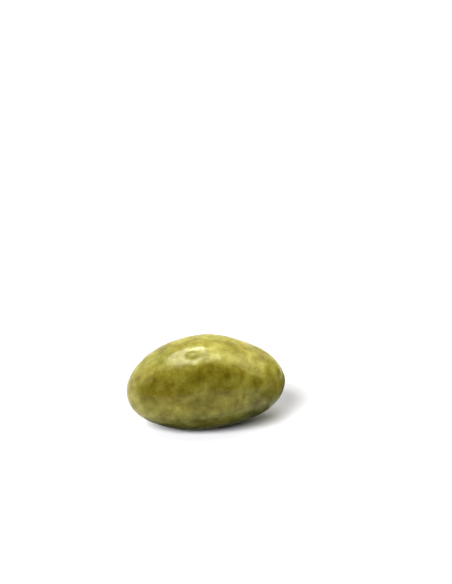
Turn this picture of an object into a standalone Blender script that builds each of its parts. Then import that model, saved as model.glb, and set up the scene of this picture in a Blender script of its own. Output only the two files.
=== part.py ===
"""A matcha coated almond: one whole nut inside an uneven, hard green coating.

Metres, +Z up. The nut lies along X with its slimmer tip at +X. It rests on a small
flat spot, and the origin is under the middle of its box, at the height of that spot.
"""

import math

import bmesh
import bpy
from mathutils import Vector, noise

MM = 0.001

# Driving sizes of the coated nut before its unevenness
LENGTH = 26.0 * MM
WIDTH = 17.2 * MM
THICKNESS = 15.2 * MM
SLIMMING = 0.05  # share of the girth lost from the middle to the +X tip, and gained to the -X tip
DROOP = 0.13  # how far both tips hang below the middle, as a share of half the thickness

# Broad swells of the coating: the direction each one faces from the nut's middle,
# how far it spreads (a larger share is a wider swell), and its height
SWELLS = (
    (Vector((0.96, -0.05, 0.28)), 0.06, 0.22 * MM),  # full shoulder above the slimmer tip
    (Vector((-0.92, 0.00, -0.35)), 0.08, 0.18 * MM),  # full cheek low on the blunt end
    (Vector((0.02, 0.38, 0.92)), 0.05, 0.22 * MM),  # crest along the top
    (Vector((0.50, 0.20, 0.84)), 0.03, -0.12 * MM),  # slack place behind the shoulder
    (Vector((-0.35, -0.45, 0.80)), 0.03, -0.12 * MM),  # shallow dip on the upper front
    (Vector((0.45, -0.85, 0.25)), 0.06, 0.12 * MM),  # belly on the front
    (Vector((-0.45, 0.85, 0.20)), 0.08, 0.16 * MM),  # belly on the back
)

# Fine unevenness: the size of one wave and the height of each layer of relief
RELIEF = (
    (9.0 * MM, 0.30 * MM),
    (3.8 * MM, 0.09 * MM),
)
RELIEF_START = Vector((12.3, 15.6, 7.6))  # which stretch of the noise shapes this nut

# Resting spot on the underside
REST_CUT = 0.16 * MM  # how much of the lowest point is flattened
REST_EASE = 0.05 * MM  # height over which the flat runs into the curve
CALM_UNDERSIDE = 0.35  # the relief fades out over this share of the height, seen from the middle

# Cells of the surface grid along X, Y and Z
GRID = (36, 25, 22)

COATING_COLOUR = (0.33, 0.29, 0.055, 1.0)
COATING_ROUGHNESS = 0.3


def clear_scene():
    for item in list(bpy.data.objects):
        bpy.data.objects.remove(item, do_unlink=True)


def box_grid(bm, cells):
    """A cube from -1 to 1, cut into the given number of cells along X, Y and Z."""
    bmesh.ops.create_cube(bm, size=2.0)
    for axis, count in enumerate(cells):
        uncut = [e for e in bm.edges if abs(e.verts[1].co[axis] - e.verts[0].co[axis]) > 1.0]
        bmesh.ops.subdivide_edges(bm, edges=uncut, cuts=count - 1, use_grid_fill=True)


def even_direction(corner):
    """The direction of a point on the cube, with the cells spread evenly over the ball."""
    spread = Vector([math.tan(value * math.pi / 4) for value in corner])
    return spread.normalized()


def smooth_nut(direction):
    """The smooth coated nut: a ball stretched to size, slimmer at +X, with drooping tips."""
    x, y, z = direction
    girth = 1 - SLIMMING * x
    droop = DROOP * x * x
    return Vector((LENGTH * x, WIDTH * y * girth, THICKNESS * (z * girth - droop))) / 2


def outward(direction):
    """The way the surface faces, taken from the ball stretched to size."""
    x, y, z = direction
    return Vector((x / LENGTH, y / WIDTH, z / THICKNESS)).normalized()


def swell_height(direction):
    height = 0.0
    for facing, spread, rise in SWELLS:
        apart = 1 - direction.dot(facing.normalized())
        height += rise * math.exp(-apart / spread)
    return height


def relief_height(point, direction):
    """Layers of noise, calm on the underside so that the nut rests level."""
    height = sum(rise * noise.noise(point / wave + RELIEF_START) for wave, rise in RELIEF)
    calm = min(1.0, (1 + direction.z) / CALM_UNDERSIDE)
    return height * calm * calm * (3 - 2 * calm)


def coated_nut(direction):
    point = smooth_nut(direction)
    height = swell_height(direction) + relief_height(point, direction)
    return point + outward(direction) * height


def flattened(z, floor):
    """A height kept at or above the floor, with an eased edge around the flat spot."""
    over = z - floor
    if over <= -REST_EASE:
        return floor
    if over >= REST_EASE:
        return z
    return floor + (over + REST_EASE) ** 2 / (4 * REST_EASE)


def rest_on_flat(bm):
    """Flattens the lowest point, and puts the origin under the middle of the box."""
    floor = min(vertex.co.z for vertex in bm.verts) + REST_CUT
    for vertex in bm.verts:
        vertex.co.z = flattened(vertex.co.z, floor)
    middle = Vector((0.0, 0.0, floor))
    for axis in (0, 1):
        values = [vertex.co[axis] for vertex in bm.verts]
        middle[axis] = (min(values) + max(values)) / 2
    for vertex in bm.verts:
        vertex.co -= middle


def coating_material():
    material = bpy.data.materials.new("matcha_coating")
    material.use_nodes = True
    shader = material.node_tree.nodes["Principled BSDF"]
    shader.inputs["Base Color"].default_value = COATING_COLOUR
    shader.inputs["Roughness"].default_value = COATING_ROUGHNESS
    shader.inputs["Metallic"].default_value = 0.0
    return material


def build_almond():
    bm = bmesh.new()
    box_grid(bm, GRID)
    for vertex in bm.verts:
        vertex.co = coated_nut(even_direction(vertex.co))
    rest_on_flat(bm)
    mesh = bpy.data.meshes.new("matcha_almond")
    bm.to_mesh(mesh)
    bm.free()
    mesh.shade_smooth()
    mesh.materials.append(coating_material())
    almond = bpy.data.objects.new("matcha_almond", mesh)
    bpy.context.scene.collection.objects.link(almond)
    return almond


clear_scene()
build_almond()
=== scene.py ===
"""The looks of a matcha coated almond: its fine surface, mottled coating, studio light and camera.

Metres, +Z up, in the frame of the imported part. The nut lies along X with its slimmer tip at +X.
"""

import math

import bmesh
import bpy
from mathutils import Euler, Matrix, Vector, noise

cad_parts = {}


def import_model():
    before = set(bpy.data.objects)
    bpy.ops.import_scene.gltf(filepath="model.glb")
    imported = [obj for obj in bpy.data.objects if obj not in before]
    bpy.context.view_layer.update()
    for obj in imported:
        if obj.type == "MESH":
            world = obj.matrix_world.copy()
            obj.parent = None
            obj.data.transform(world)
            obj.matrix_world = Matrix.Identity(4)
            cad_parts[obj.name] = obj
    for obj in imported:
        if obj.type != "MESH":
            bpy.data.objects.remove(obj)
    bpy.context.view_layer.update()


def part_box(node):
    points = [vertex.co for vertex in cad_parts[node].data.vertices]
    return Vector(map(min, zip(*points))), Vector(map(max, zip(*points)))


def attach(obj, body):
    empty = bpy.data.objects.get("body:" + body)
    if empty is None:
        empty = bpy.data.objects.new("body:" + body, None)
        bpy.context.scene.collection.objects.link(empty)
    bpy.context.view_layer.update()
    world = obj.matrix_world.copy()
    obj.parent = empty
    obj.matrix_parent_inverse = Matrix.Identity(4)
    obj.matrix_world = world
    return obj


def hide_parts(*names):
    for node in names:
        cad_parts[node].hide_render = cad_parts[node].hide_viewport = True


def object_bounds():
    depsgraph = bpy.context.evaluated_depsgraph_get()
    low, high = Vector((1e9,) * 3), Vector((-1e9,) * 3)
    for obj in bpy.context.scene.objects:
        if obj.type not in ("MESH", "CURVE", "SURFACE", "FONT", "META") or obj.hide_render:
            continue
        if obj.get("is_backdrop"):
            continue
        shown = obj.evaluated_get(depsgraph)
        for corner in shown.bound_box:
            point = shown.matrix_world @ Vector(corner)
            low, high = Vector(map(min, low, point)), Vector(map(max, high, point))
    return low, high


MM = 0.001
NODE = "matcha_almond"


def in_metres(*rows):
    """Spots or strokes from rows with a middle and sizes in mm, and a depth that stays as it is."""
    spots = []
    for middle, *sizes, depth in rows:
        spots.append((Vector(middle) * MM, *(size * MM for size in sizes), depth))
    return spots


# The form of the coated nut, as in the part's own source. Each swell has a direction, a
# spread and a rise, and each layer of relief a size and a rise
LENGTH = 26.0 * MM
WIDTH = 17.2 * MM
THICKNESS = 15.2 * MM
SLIMMING = 0.05
DROOP = 0.13
SWELLS = (
    (Vector((0.96, -0.05, 0.28)), 0.06, 0.22 * MM),
    (Vector((-0.92, 0.00, -0.35)), 0.08, 0.18 * MM),
    (Vector((0.02, 0.38, 0.92)), 0.05, 0.22 * MM),
    (Vector((0.50, 0.20, 0.84)), 0.03, -0.12 * MM),
    (Vector((-0.35, -0.45, 0.80)), 0.03, -0.12 * MM),
    (Vector((0.45, -0.85, 0.25)), 0.06, 0.12 * MM),
    (Vector((-0.45, 0.85, 0.20)), 0.08, 0.16 * MM),
)
SWELL_FACINGS = [facing.normalized() for facing, _, _ in SWELLS]
RELIEF = (
    (9.0 * MM, 0.30 * MM),
    (3.8 * MM, 0.09 * MM),
)
RELIEF_START = Vector((12.3, 15.6, 7.6))
REST_CUT = 0.16 * MM
REST_EASE = 0.05 * MM
CALM_UNDERSIDE = 0.35

# Relief finer than the solid's, and the cells of the finer mesh along X, Y and Z
FINE_RELIEF = (
    (1.5 * MM, 0.045 * MM),
    (0.7 * MM, 0.009 * MM),
)
FINE_GRID = (160, 108, 96)

# Mottling of the coating, with some painted shade and painted highlight among its spots. A depth
# says how much lighter, or darker below 0, a place is made. First come layers of blotches: size,
# depth and start of the noise
BLOTCHES = (
    (3.3 * MM, 0.35, Vector((11.7, 4.7, 58.5))),
    (1.9 * MM, 0.27, Vector((50.4, 40.5, 35.1))),
    (1.3 * MM, 0.18, Vector((6.1, 10.2, 16.0))),
)
# Then soft round spots: middle, radius and depth, the last five at the back. Most are the coating's
# own mottling; some at the front are painted shade, and some painted highlight
SPOTS_AND_PAINTED_LIGHT = in_metres(
    ((6.1, -7.6, 6.4), 2.0, -0.26),
    ((-9.9, -5.0, 9.4), 0.8, -0.32),
    ((-4.0, -6.4, 11.8), 1.2, 0.30),
    ((8.1, -6.5, 7.6), 1.3, 0.14),
    ((9.3, -5.9, 5.4), 1.5, -0.38),
    ((-2.0, -8.3, 9.4), 0.8, 0.20),
    ((8.9, -4.4, 10.8), 1.4, 0.34),
    ((9.6, -5.2, 8.9), 2.5, 0.42),
    ((6.9, -7.1, 9.0), 0.9, -0.25),
    ((-11.4, -4.4, 6.9), 1.0, -0.18),
    ((-6.6, -7.3, 8.3), 0.9, 0.30),
    ((-2.5, -7.6, 10.9), 0.8, -0.26),
    ((3.1, -7.9, 5.0), 0.9, -0.32),
    ((1.8, -7.7, 11.0), 0.8, -0.26),
    ((-11.1, -4.4, 8.1), 0.8, 0.28),
    ((1.0, -4.2, 14.0), 2.1, 0.25),
    ((1.3, -8.5, 8.6), 1.2, 0.18),
    ((1.1, -4.1, 14.1), 0.8, -0.30),
    ((0.9, -0.4, 15.0), 1.6, 0.15),
    ((-5.6, -7.3, 9.7), 1.1, -0.24),
    ((-9.6, -2.5, 11.7), 1.8, 0.20),
    ((-0.5, -7.3, 11.8), 1.2, 0.22),
    ((-9.9, -5.6, 8.2), 0.9, 0.20),
    ((-12.0, -2.2, 4.9), 2.4, 0.26),
    ((0.0, -3.0, 14.6), 1.0, 0.34),
    ((-2.9, -4.3, 13.9), 0.8, 0.16),
    ((-6.0, 0.2, 14.0), 1.3, -0.24),
    ((3.4, -0.8, 14.6), 1.0, 0.16),
    ((6.2, -3.6, 13.0), 1.1, 0.26),
    ((-4.1, -7.2, 10.9), 0.9, 0.13),
    ((-0.8, -8.0, 10.6), 1.0, -0.18),
    ((-5.4, -7.0, 4.2), 1.5, 0.22),
    ((-5.7, -2.9, 13.7), 1.0, -0.22),
    ((7.4, -5.2, 11.2), 1.1, 0.13),
    ((6.0, -5.1, 12.0), 1.0, 0.30),
    ((4.9, -7.1, 10.5), 1.0, 0.24),
    ((-7.6, -5.8, 10.6), 0.9, 0.16),
    ((7.6, -7.1, 7.5), 0.9, 0.16),
    ((7.2, -1.1, 13.2), 1.3, 0.26),
    ((12.3, -1.8, 8.7), 1.0, 0.14),
    ((-8.6, -6.2, 5.0), 1.0, 0.18),
    ((-3.8, -8.2, 8.0), 0.8, 0.15),
    ((1.3, -7.5, 3.9), 1.0, 0.22),
    ((1.7, -6.1, 12.9), 0.9, -0.16),
    ((5.4, -1.8, 13.8), 1.0, -0.18),
    ((-0.7, -8.5, 6.3), 1.2, -0.16),
    ((2.8, -6.6, 12.1), 1.2, 0.18),
    ((-4.0, 7.6, 10.5), 1.5, -0.30),
    ((5.2, 7.4, 9.0), 1.1, 0.26),
    ((9.0, 4.6, 10.2), 0.8, -0.36),
    ((-9.4, 5.2, 7.2), 2.0, 0.18),
    ((0.6, 8.3, 6.4), 0.8, -0.34),
)
# Then brush-like strokes round the girth: middle, half width, half length and depth, the
# last four at the back
STROKES = in_metres(
    ((6.4, -7.3, 9.0), 0.45, 1.5, -0.32),
    ((4.2, -8.3, 7.4), 0.35, 0.7, -0.40),
    ((3.0, -8.3, 7.0), 0.35, 0.9, -0.25),
    ((5.0, -8.0, 6.6), 0.6, 1.2, 0.10),
    ((1.6, -8.6, 8.2), 0.5, 1.2, -0.20),
    ((-8.0, -6.2, 9.8), 0.4, 1.0, -0.35),
    ((-2.0, 8.4, 7.6), 0.5, 1.6, -0.30),
    ((3.4, 8.2, 7.0), 0.6, 1.4, 0.25),
    ((8.0, 6.4, 7.8), 0.5, 1.2, -0.30),
    ((-7.6, 6.6, 8.8), 0.6, 1.5, 0.25),
)
# A spot or stroke fades as exp(-SPOT_FALLOFF * r * r), where r is the distance in radii,
# and ends at SPOT_REACH
SPOT_FALLOFF = 1.125
SPOT_REACH = 2.2

# Painted shade: darker and greener towards the underside, and on the lower cheek below the slimmer
# tip
UNDERSIDE_HEIGHT = 6.5 * MM
CHEEK = Vector((7.2, -6.6, 4.2)) * MM
CHEEK_RADIUS = 3.0 * MM
CHEEK_SHARE = 0.48
# The tint that paints the shade
PAINTED_SHADE_TINT = (0.36, 0.40, 0.60, 1.0)

# Browner patches, and greener ones below 0: a noise of one size, then spots as above, the
# last two at the back, then a greener lower half that is whole at half of its height
BROWNING_SIZE = 2.6 * MM
BROWNING_DEPTH = 0.9
BROWNING_START = Vector((35.6, 50.9, 8.8))
BROWN_SPOTS = in_metres(
    ((5.6, -6.2, 11.2), 2.8, 0.60),
    ((2.2, -5.2, 13.0), 1.5, 0.50),
    ((6.4, -2.0, 13.3), 1.6, 0.45),
    ((-9.2, -5.4, 9.6), 3.2, 0.40),
    ((-6.0, -3.4, 13.0), 4.0, -0.50),
    ((0.3, -4.1, 14.2), 2.0, -0.55),
    ((5.6, -7.2, 5.0), 5.0, -0.40),
    ((-9.0, -5.4, 4.0), 4.0, 0.30),
    ((-2.0, 7.8, 8.0), 3.5, 0.40),
    ((7.0, 6.0, 10.0), 3.0, -0.40),
)
GREENER_BELOW = 8.0 * MM
GREENER_SHARE = 0.4
BROWNING_LIMIT = 1.0

# Clouds and thin dark wisps in the material, finer than the mottling on the mesh. A noise is
# given by its scale per mm, its detail and its distortion
SMALL_CLOUD_NOISE = (0.9, 1.5, 0.4)
SMALL_CLOUD_DEPTH = 0.8
FINE_CLOUD_NOISE = (2.6, 1.0, 0.0)
FINE_CLOUD_DEPTH = 0.32
WISP_NOISE = (0.75, 2.0, 0.4)
WISP_WIDTH = 0.03
WISP_DARKENING = 0.2
WISP_GAP_NOISE = (0.62, 1.0, 0.2)
WISP_GAP_EDGE = (0.5, 0.62)

# Colours of the coating, from the darkest mottling, -MOTTLE_LIMIT, at 0 to the lightest at 1,
# and the tints that multiply them, from the greenest to the brownest
MOTTLE_LIMIT = 1.2
COATING_COLOURS = (
    (0.0, (0.080, 0.072, 0.013, 1.0)),
    (0.25, (0.145, 0.114, 0.005, 1.0)),
    (0.375, (0.212, 0.177, 0.016, 1.0)),
    (0.5, (0.303, 0.267, 0.043, 1.0)),
    (0.625, (0.410, 0.373, 0.089, 1.0)),
    (0.75, (0.525, 0.492, 0.160, 1.0)),
    (1.0, (0.620, 0.600, 0.250, 1.0)),
)
BROWNING_TINTS = (
    (0.0, (0.93, 1.0, 1.15, 1.0)),
    (0.5, (0.99, 0.975, 0.94, 1.0)),
    (1.0, (1.0, 0.91, 0.78, 1.0)),
)
COATING_ROUGHNESS = 0.17
COATING_IOR = 1.56
COATING_SPECULAR_TINT = (1.0, 1.0, 0.75, 1.0)
BUMP_NOISE = (2.4, 3.0, 0.0)
BUMP_HEIGHT = 0.004 * MM

# Camera and framing: a 452 by 584 picture, seen from the front left and a little above
FRAME_WIDTH, FRAME_HEIGHT = 452, 584
CAMERA_AZIMUTH = math.radians(-14.0)
CAMERA_ELEVATION = math.radians(20.0)
CAMERA_DISTANCE = 0.350
CLIP_START = 0.01
CLIP_END = 20.0
PIXELS_PER_MM = 6.12
NUT_PIXEL = (205.8, 381.0)
SENSOR = 36.0

# Studio: every light is placed by how far it stands over the horizon in front of the
# picture (90 degrees is straight up, 180 the horizon behind) and how far to the right
FLOOR_SIZE = 4.0
FLOOR_COLOUR = (0.340, 0.338, 0.382, 1.0)
FLOOR_ROUGHNESS = 0.6
FLOOR_SPECULAR = 0.2
FLOOR_LIGHT_OVER = 34.0
FLOOR_LIGHT_RIGHT = -25.0
FLOOR_LIGHT_ENERGY = 11.7
FLOOR_LIGHT_SOFTNESS = 36.0
FLOOR_LIGHT_COLOUR = (1.0, 1.0, 0.92)

# Glowing cards below the floor, which the nut sees in the floor's place: pale all round, but
# dark close under the nut and at its right
CARDS = (
    # name, middle, half the length and half the width, tint, and strength at places from the
    # centre, 0, to the edge, 1
    (
        "bounce_card",
        Vector((0.0, 0.0, -3.0)) * MM,
        (2.0, 2.0),
        (0.95, 0.95, 0.94),
        ((0.0, 0.98), (1.0, 0.98)),
    ),
    (
        "belly_shade",
        Vector((3.0, 0.0, -2.0)) * MM,
        (15.5 * MM, 8.8 * MM),
        (0.9, 0.9, 1.0),
        ((0.0, 0.06), (0.7, 0.08), (1.0, 0.5)),
    ),
    (
        "right_shade",
        Vector((70.0, 10.0, -1.0)) * MM,
        (58.0 * MM, 45.0 * MM),
        (0.9, 0.9, 1.0),
        ((0.0, 0.05), (0.85, 0.12), (1.0, 0.5)),
    ),
)

# Oval softboxes and flags that face the nut
PANELS = (
    # name, distance, over the horizon, to the right, half the height and half the width (in
    # degrees), then tint, and strength at places from the centre, 0, to the edge, 1
    (
        ("key_softbox", 0.60, 96.8, -10.7, 23.5, 15.8),
        (1.0, 1.0, 1.0),
        ((0.0, 5.55), (0.88, 5.55), (1.0, 1.6)),
    ),
    (
        ("key_deflector", 0.58, 103.0, -7.5, 7.0, 9.5),
        (1.0, 1.0, 1.0),
        ((0.0, 0.4), (0.7, 0.6), (1.0, 3.0)),
    ),
    (
        ("key_streak", 0.58, 116.0, -4.0, 4.6, 11.5),
        (1.0, 1.0, 1.0),
        ((0.0, 12.0), (0.45, 10.5), (1.0, 4.0)),
    ),
    (
        ("key_tail", 0.585, 99.5, 14.0, 6.5, 11.0),
        (1.0, 1.0, 0.94),
        ((0.0, 5.0), (0.5, 4.2), (1.0, 2.6)),
    ),
    (
        ("right_softbox", 0.60, 105.0, 33.0, 16.0, 27.0),
        (1.0, 1.0, 0.78),
        ((0.0, 2.6), (0.55, 2.5), (1.0, 1.2)),
    ),
    (
        ("left_softbox", 0.60, 112.0, -56.0, 33.0, 20.0),
        (1.0, 1.0, 0.85),
        ((0.0, 1.4), (0.6, 1.3), (1.0, 0.9)),
    ),
    (
        ("right_flag", 0.50, 160.0, 68.0, 24.0, 34.0),
        (1.0, 0.98, 0.55),
        ((0.0, 0.2), (0.75, 0.25), (1.0, 0.8)),
    ),
)
DISC_SEGMENTS = 64
# A panel's height points up, or to the back where the sine of its sight line's rise is
# above this
STEEP_SIGHT = 0.5

# The dome's tint, and its strength by the cosine of the angle to the middle of its far side
DOME_TINT = (1.0, 0.995, 0.77)
DOME_MIDDLE_OVER = 165.0
DOME_STOPS = ((0.0, 0.12), (0.08, 0.5), (0.2, 1.5), (0.5, 1.65), (0.85, 0.9), (1.0, 0.74))

# Sockets of a colour mix, by number, since its other kinds of mix use the same names
MIX_FIRST = 6
MIX_SECOND = 7
MIX_RESULT = 2


def smooth_step(share):
    """A share from 0 to 1, eased at both ends."""
    return share * share * (3 - 2 * share)


def soft_spot(apart):
    """How much of a spot's depth shows at a distance in radii."""
    return math.exp(-SPOT_FALLOFF * apart * apart)


def box_grid(bm, cells):
    """A cube from -1 to 1, cut into cells along each axis."""
    bmesh.ops.create_cube(bm, size=2.0)
    for axis, count in enumerate(cells):
        uncut = [e for e in bm.edges if abs(e.verts[1].co[axis] - e.verts[0].co[axis]) > 1.0]
        bmesh.ops.subdivide_edges(bm, edges=uncut, cuts=count - 1, use_grid_fill=True)


def even_direction(corner):
    """The direction of a point on the cube, with the points evenly spread on a ball."""
    spread = Vector([math.tan(value * math.pi / 4) for value in corner])
    return spread.normalized()


def smooth_nut(direction):
    """The point of the nut, without swells or relief, that a direction leads to."""
    x, y, z = direction
    girth = 1 - SLIMMING * x
    droop = DROOP * x * x
    return Vector((LENGTH * x, WIDTH * y * girth, THICKNESS * (z * girth - droop))) / 2


def outward(direction):
    """The way out of the nut's surface, close to square to it."""
    x, y, z = direction
    return Vector((x / LENGTH, y / WIDTH, z / THICKNESS)).normalized()


def swell_height(direction):
    """How far the swells lift the surface."""
    height = 0.0
    for facing, (_, spread, rise) in zip(SWELL_FACINGS, SWELLS):
        apart = 1 - direction.dot(facing)
        height += rise * math.exp(-apart / spread)
    return height


def layered_height(point, layers):
    """How far layers of relief lift the surface at a point."""
    return sum(rise * noise.noise(point / wave + RELIEF_START) for wave, rise in layers)


def relief_height(point, direction):
    """The solid's low relief, which fades towards the flat spot."""
    calm = min(1.0, (1 + direction.z) / CALM_UNDERSIDE)
    return layered_height(point, RELIEF) * smooth_step(calm)


def flattened(z, floor):
    """A height, cut off at the floor with a short soft bend."""
    over = z - floor
    if over <= -REST_EASE:
        return floor
    if over >= REST_EASE:
        return z
    return floor + (over + REST_EASE) ** 2 / (4 * REST_EASE)


def rest_on_flat(bm):
    """Cuts the flat spot, and moves the middle of the nut's box over the origin."""
    floor = min(vertex.co.z for vertex in bm.verts) + REST_CUT
    for vertex in bm.verts:
        vertex.co.z = flattened(vertex.co.z, floor)
    middle = Vector((0.0, 0.0, floor))
    for axis in (0, 1):
        values = [vertex.co[axis] for vertex in bm.verts]
        middle[axis] = (min(values) + max(values)) / 2
    for vertex in bm.verts:
        vertex.co -= middle


def spotted(point, spots):
    """The sum of soft round spots at a point."""
    shade = 0.0
    for middle, radius, depth in spots:
        apart = (point - middle).length / radius
        if apart < SPOT_REACH:
            shade += depth * soft_spot(apart)
    return shade


def stroked(point):
    """The sum of strokes that run round the girth at a point."""
    shade = 0.0
    for middle, across, along, depth in STROKES:
        apart = point - middle
        apart = math.hypot(apart.x / across, math.hypot(apart.y, apart.z) / along)
        if apart < SPOT_REACH:
            shade += depth * soft_spot(apart)
    return shade


def mottling_and_painted_light(point):
    """How much lighter, or darker below 0, the coating is at a point, painted shade and highlight
    spots included.
    """
    shade = sum(depth * noise.noise(point / size + start) for size, depth, start in BLOTCHES)
    return shade + spotted(point, SPOTS_AND_PAINTED_LIGHT) + stroked(point)


def painted_shade(point):
    """How much painted shade shows at a point, from 0 to 1."""
    low = max(0.0, 1 - point.z / UNDERSIDE_HEIGHT)
    cheek = CHEEK_SHARE * soft_spot((point - CHEEK).length / CHEEK_RADIUS)
    return min(1.0, smooth_step(low) + cheek)


def browning(point):
    """How much browner, or greener below 0, the coating is at a point."""
    low = min(1.0, max(0.0, 2 * (1 - point.z / GREENER_BELOW)))
    shade = BROWNING_DEPTH * noise.noise(point / BROWNING_SIZE + BROWNING_START)
    return shade + spotted(point, BROWN_SPOTS) - GREENER_SHARE * smooth_step(low)


def make_nut():
    """The nut, with the tones of its coating, its painted shade and some painted highlight stored
    at the mesh's points.
    """
    bm = bmesh.new()
    box_grid(bm, FINE_GRID)
    for vertex in bm.verts:
        direction = even_direction(vertex.co)
        point = smooth_nut(direction)
        height = swell_height(direction) + relief_height(point, direction)
        height += layered_height(point, FINE_RELIEF)
        vertex.co = point + outward(direction) * height
    rest_on_flat(bm)
    mesh = bpy.data.meshes.new("coated_nut")
    bm.to_mesh(mesh)
    bm.free()
    mesh.shade_smooth()
    for name, value_at in (("mottling_and_painted_light", mottling_and_painted_light), ("browning", browning), ("painted_shade", painted_shade)):
        attribute = mesh.attributes.new(name, "FLOAT", "POINT")
        attribute.data.foreach_set("value", [value_at(vertex.co) for vertex in mesh.vertices])
    nut = bpy.data.objects.new("coated_nut", mesh)
    bpy.context.scene.collection.objects.link(nut)
    return nut


class Nodes:
    """Short ways to add and join the nodes of one material or world."""

    def __init__(self, tree):
        self.tree = tree
        self.tree.nodes.clear()

    def add(self, kind, **values):
        node = self.tree.nodes.new(kind)
        for name, value in values.items():
            setattr(node, name, value)
        return node

    def join(self, source, target):
        self.tree.links.new(source, target)

    def put(self, value, socket):
        """Sets a socket to a number or colour, or joins the output that is given to it."""
        if isinstance(value, (int, float, tuple)):
            socket.default_value = value
        else:
            self.join(value, socket)

    def attribute(self, name):
        return self.add("ShaderNodeAttribute", attribute_name=name).outputs["Fac"]

    def noise(self, vector, scale, detail, distortion):
        node = self.add("ShaderNodeTexNoise")
        node.inputs["Scale"].default_value = scale
        node.inputs["Detail"].default_value = detail
        node.inputs["Distortion"].default_value = distortion
        self.join(vector, node.inputs["Vector"])
        return node.outputs["Fac"]

    def centred_noise(self, vector, scale, detail, distortion):
        """Noise from -0.5 to 0.5."""
        return self.maths("SUBTRACT", self.noise(vector, scale, detail, distortion), 0.5)

    def ramp(self, factor, stops):
        node = self.add("ShaderNodeValToRGB")
        elements = node.color_ramp.elements
        while len(elements) < len(stops):
            elements.new(0.5)
        for element, (place, colour) in zip(elements, stops):
            element.position = place
            element.color = colour
        self.join(factor, node.inputs["Fac"])
        return node.outputs["Color"]

    def profile(self, place, stops, tint, light):
        """The strength of a light by place, with the strongest stop in its Strength socket."""
        strongest = max(strength for _, strength in stops)
        light.inputs["Strength"].default_value = strongest
        shades = []
        for at, strength in stops:
            shades.append((at, (*(strength / strongest * part for part in tint), 1.0)))
        return self.ramp(place, shades)

    def mix(self, factor, first, second, blend="MIX"):
        node = self.add("ShaderNodeMix", data_type="RGBA", blend_type=blend)
        self.put(factor, node.inputs["Factor"])
        self.put(first, node.inputs[MIX_FIRST])
        self.put(second, node.inputs[MIX_SECOND])
        return node.outputs[MIX_RESULT]

    def maths(self, operation, *values):
        node = self.add("ShaderNodeMath", operation=operation)
        for socket, value in zip(node.inputs, values):
            self.put(value, socket)
        return node.outputs[0]

    def map_range(self, value, low, high, to_low=0.0, to_high=1.0, smooth=True):
        kind = "SMOOTHSTEP" if smooth else "LINEAR"
        node = self.add("ShaderNodeMapRange", interpolation_type=kind)
        node.inputs["From Min"].default_value = low
        node.inputs["From Max"].default_value = high
        node.inputs["To Min"].default_value = to_low
        node.inputs["To Max"].default_value = to_high
        self.join(value, node.inputs["Value"])
        return node.outputs["Result"]


def coating_material():
    """A glossy coating, coloured by the tones, painted shade and painted highlight at the mesh's
    points, clouds and thin wisps.
    """
    material = bpy.data.materials.new("matcha_coating")
    material.use_nodes = True
    n = Nodes(material.node_tree)
    output = n.add("ShaderNodeOutputMaterial")
    shader = n.add("ShaderNodeBsdfPrincipled")
    n.join(shader.outputs["BSDF"], output.inputs["Surface"])
    coordinates = n.add("ShaderNodeTexCoord")
    in_mm = n.add("ShaderNodeVectorMath", operation="SCALE")
    in_mm.inputs["Scale"].default_value = 1 / MM
    n.join(coordinates.outputs["Object"], in_mm.inputs[0])
    place = in_mm.outputs[0]

    small = n.maths("MULTIPLY", n.centred_noise(place, *SMALL_CLOUD_NOISE), SMALL_CLOUD_DEPTH)
    fine = n.maths("MULTIPLY", n.centred_noise(place, *FINE_CLOUD_NOISE), FINE_CLOUD_DEPTH)
    apart = n.maths("ABSOLUTE", n.centred_noise(place, *WISP_NOISE))
    lines = n.map_range(apart, 0.0, WISP_WIDTH, -WISP_DARKENING, 0.0)
    broken = n.map_range(n.noise(place, *WISP_GAP_NOISE), *WISP_GAP_EDGE)
    shade = n.maths("ADD", n.attribute("mottling_and_painted_light"), n.maths("MULTIPLY", lines, broken))
    shade = n.maths("ADD", shade, n.maths("ADD", small, fine))
    lightness = n.map_range(shade, -MOTTLE_LIMIT, MOTTLE_LIMIT, smooth=False)
    brown = n.attribute("browning")
    brownness = n.map_range(brown, -BROWNING_LIMIT, BROWNING_LIMIT, smooth=False)
    colour = n.ramp(lightness, COATING_COLOURS)
    whole = n.mix(1.0, colour, n.ramp(brownness, BROWNING_TINTS), "MULTIPLY")
    # Painted shade: the coating darkened and greened by the share of shade stored at the mesh's
    # points
    shaded = n.mix(1.0, whole, PAINTED_SHADE_TINT, "MULTIPLY")
    n.join(n.mix(n.attribute("painted_shade"), whole, shaded), shader.inputs["Base Color"])

    shader.inputs["Roughness"].default_value = COATING_ROUGHNESS
    shader.inputs["IOR"].default_value = COATING_IOR
    shader.inputs["Specular Tint"].default_value = COATING_SPECULAR_TINT
    bump = n.add("ShaderNodeBump")
    bump.inputs["Strength"].default_value = 1.0
    bump.inputs["Distance"].default_value = BUMP_HEIGHT
    n.join(n.noise(place, *BUMP_NOISE), bump.inputs["Height"])
    n.join(bump.outputs["Normal"], shader.inputs["Normal"])
    return material


def floor_material():
    material = bpy.data.materials.new("pale_floor")
    material.use_nodes = True
    shader = material.node_tree.nodes["Principled BSDF"]
    shader.inputs["Base Color"].default_value = FLOOR_COLOUR
    shader.inputs["Roughness"].default_value = FLOOR_ROUGHNESS
    shader.inputs["Specular IOR Level"].default_value = FLOOR_SPECULAR
    return material


def make_floor():
    """A pale floor that only the camera sees."""
    bpy.ops.mesh.primitive_plane_add(size=FLOOR_SIZE)
    floor = bpy.context.object
    floor.name = "floor"
    floor.data.materials.append(floor_material())
    floor.visible_diffuse = False
    floor.visible_glossy = False
    floor.visible_shadow = False
    floor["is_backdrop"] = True
    return floor


def picture_axes():
    """The picture's right, and the way away from the camera, both level."""
    right = Vector((math.cos(CAMERA_AZIMUTH), math.sin(CAMERA_AZIMUTH), 0))
    away = Vector((-math.sin(CAMERA_AZIMUTH), math.cos(CAMERA_AZIMUTH), 0))
    return right, away


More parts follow.
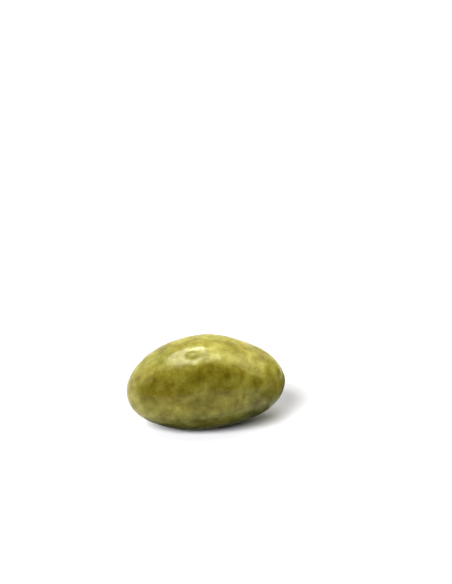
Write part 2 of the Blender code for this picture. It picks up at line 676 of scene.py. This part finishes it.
def sight_line(over, right):
    """The direction of a light from its angles over the front horizon and to the right."""
    rightward, away = picture_axes()
    over, right = math.radians(over), math.radians(right)
    upright = Vector((0, 0, math.sin(over))) - away * math.cos(over)
    return upright * math.cos(right) + rightward * math.sin(right)


def glowing_material(name, tint, profile):
    """A glow that changes from the centre of a disc to its edge."""
    material = bpy.data.materials.new(name)
    material.use_nodes = True
    n = Nodes(material.node_tree)
    output = n.add("ShaderNodeOutputMaterial")
    glow = n.add("ShaderNodeEmission")
    n.join(glow.outputs["Emission"], output.inputs["Surface"])
    coordinates = n.add("ShaderNodeTexCoord")
    from_centre = n.add("ShaderNodeVectorMath", operation="LENGTH")
    n.join(coordinates.outputs["Object"], from_centre.inputs[0])
    n.join(n.profile(from_centre.outputs["Value"], profile, tint, glow), glow.inputs["Color"])
    return material


def glowing_disc(name, tint, profile):
    """A glowing disc of radius 1 that faces up."""
    bm = bmesh.new()
    bmesh.ops.create_circle(bm, cap_ends=True, segments=DISC_SEGMENTS, radius=1.0)
    mesh = bpy.data.meshes.new(name)
    bm.to_mesh(mesh)
    bm.free()
    mesh.materials.append(glowing_material(name + "_glow", tint, profile))
    disc = bpy.data.objects.new(name, mesh)
    bpy.context.scene.collection.objects.link(disc)
    disc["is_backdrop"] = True
    return disc


def make_card(name, middle, size, tint, profile):
    """A flat oval card that faces up, below the floor."""
    card = glowing_disc(name, tint, profile)
    card.matrix_world = Matrix.Translation(middle) @ Matrix.Diagonal((*size, 1, 1))


def make_panel(middle, placing, tint, profile):
    """A flat oval softbox that faces the nut."""
    name, distance, over, right, half_height, half_width = placing
    panel = glowing_disc(name, tint, profile)
    towards = sight_line(over, right)
    _, away = picture_axes()
    upright = Vector((0, 0, 1)) if abs(towards.z) < STEEP_SIGHT else away
    across = upright.cross(towards).normalized()
    upright = towards.cross(across)
    size = [distance * math.tan(math.radians(half)) for half in (half_width, half_height)]
    turned = Matrix((across, upright, towards)).transposed().to_4x4()
    shift = Matrix.Translation(middle + towards * distance)
    panel.matrix_world = shift @ turned @ Matrix.Diagonal((*size, 1, 1))


def make_floor_light(floor):
    """A soft light from the front for the floor alone, which reaches below the nut's belly."""
    lamp = bpy.data.lights.new("floor_light", "SUN")
    lamp.energy = FLOOR_LIGHT_ENERGY
    lamp.color = FLOOR_LIGHT_COLOUR
    lamp.angle = math.radians(FLOOR_LIGHT_SOFTNESS)
    light = bpy.data.objects.new("floor_light", lamp)
    towards = sight_line(FLOOR_LIGHT_OVER, FLOOR_LIGHT_RIGHT)
    light.rotation_euler = towards.to_track_quat("Z", "Y").to_euler()
    bpy.context.scene.collection.objects.link(light)
    lit = bpy.data.collections.new("lit_by_floor_light")
    lit.objects.link(floor)
    light.light_linking.receiver_collection = lit


def make_dome():
    """Surroundings that are bright behind the nut, and dark at the camera's side of it."""
    world = bpy.data.worlds.new("studio")
    bpy.context.scene.world = world
    world.use_nodes = True
    n = Nodes(world.node_tree)
    output = n.add("ShaderNodeOutputWorld")
    sky = n.add("ShaderNodeBackground")
    n.join(sky.outputs["Background"], output.inputs["Surface"])
    coordinates = n.add("ShaderNodeTexCoord")
    facing = n.add("ShaderNodeVectorMath", operation="DOT_PRODUCT")
    facing.inputs[1].default_value = sight_line(DOME_MIDDLE_OVER, 0.0)
    n.join(coordinates.outputs["Generated"], facing.inputs[0])
    n.join(n.profile(facing.outputs["Value"], DOME_STOPS, DOME_TINT, sky), sky.inputs["Color"])


def make_camera(middle):
    """A camera whose picture has the nut's middle at NUT_PIXEL, with the horizon level."""
    camera = bpy.data.objects.new("camera", bpy.data.cameras.new("camera"))
    bpy.context.scene.collection.objects.link(camera)
    focal = PIXELS_PER_MM / MM * CAMERA_DISTANCE
    camera.data.sensor_width = SENSOR
    camera.data.lens = SENSOR * focal / FRAME_HEIGHT
    camera.data.clip_start = CLIP_START
    camera.data.clip_end = CLIP_END
    _, away = picture_axes()
    back = Vector((0, 0, math.sin(CAMERA_ELEVATION))) - away * math.cos(CAMERA_ELEVATION)
    camera.location = middle + back * CAMERA_DISTANCE
    across = (NUT_PIXEL[0] - FRAME_WIDTH / 2) / focal
    below = (NUT_PIXEL[1] - FRAME_HEIGHT / 2) / focal
    length = math.sqrt(1 + across**2 + below**2)
    sight = math.asin(math.sin(CAMERA_ELEVATION) * length / math.hypot(1, below))
    pitch = math.atan(below) - sight
    turned = Euler((math.pi / 2 + pitch, 0, 0)).to_matrix() @ Vector((across, -below, -1))
    heading = math.atan2(-back.y, -back.x) - math.atan2(turned.y, turned.x)
    camera.rotation_euler = Euler((math.pi / 2 + pitch, 0, heading))
    bpy.context.scene.camera = camera


def main():
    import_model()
    low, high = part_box(NODE)
    middle = (low + high) / 2
    nut = make_nut()
    nut.data.materials.append(coating_material())
    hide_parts(NODE)
    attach(nut, "root")
    floor = make_floor()
    for card in CARDS:
        make_card(*card)
    for panel in PANELS:
        make_panel(middle, *panel)
    make_dome()
    make_floor_light(floor)
    make_camera(middle)
    bpy.context.scene.view_settings.view_transform = "Standard"
    bpy.context.scene.view_settings.look = "High Contrast"
    low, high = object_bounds()


main()
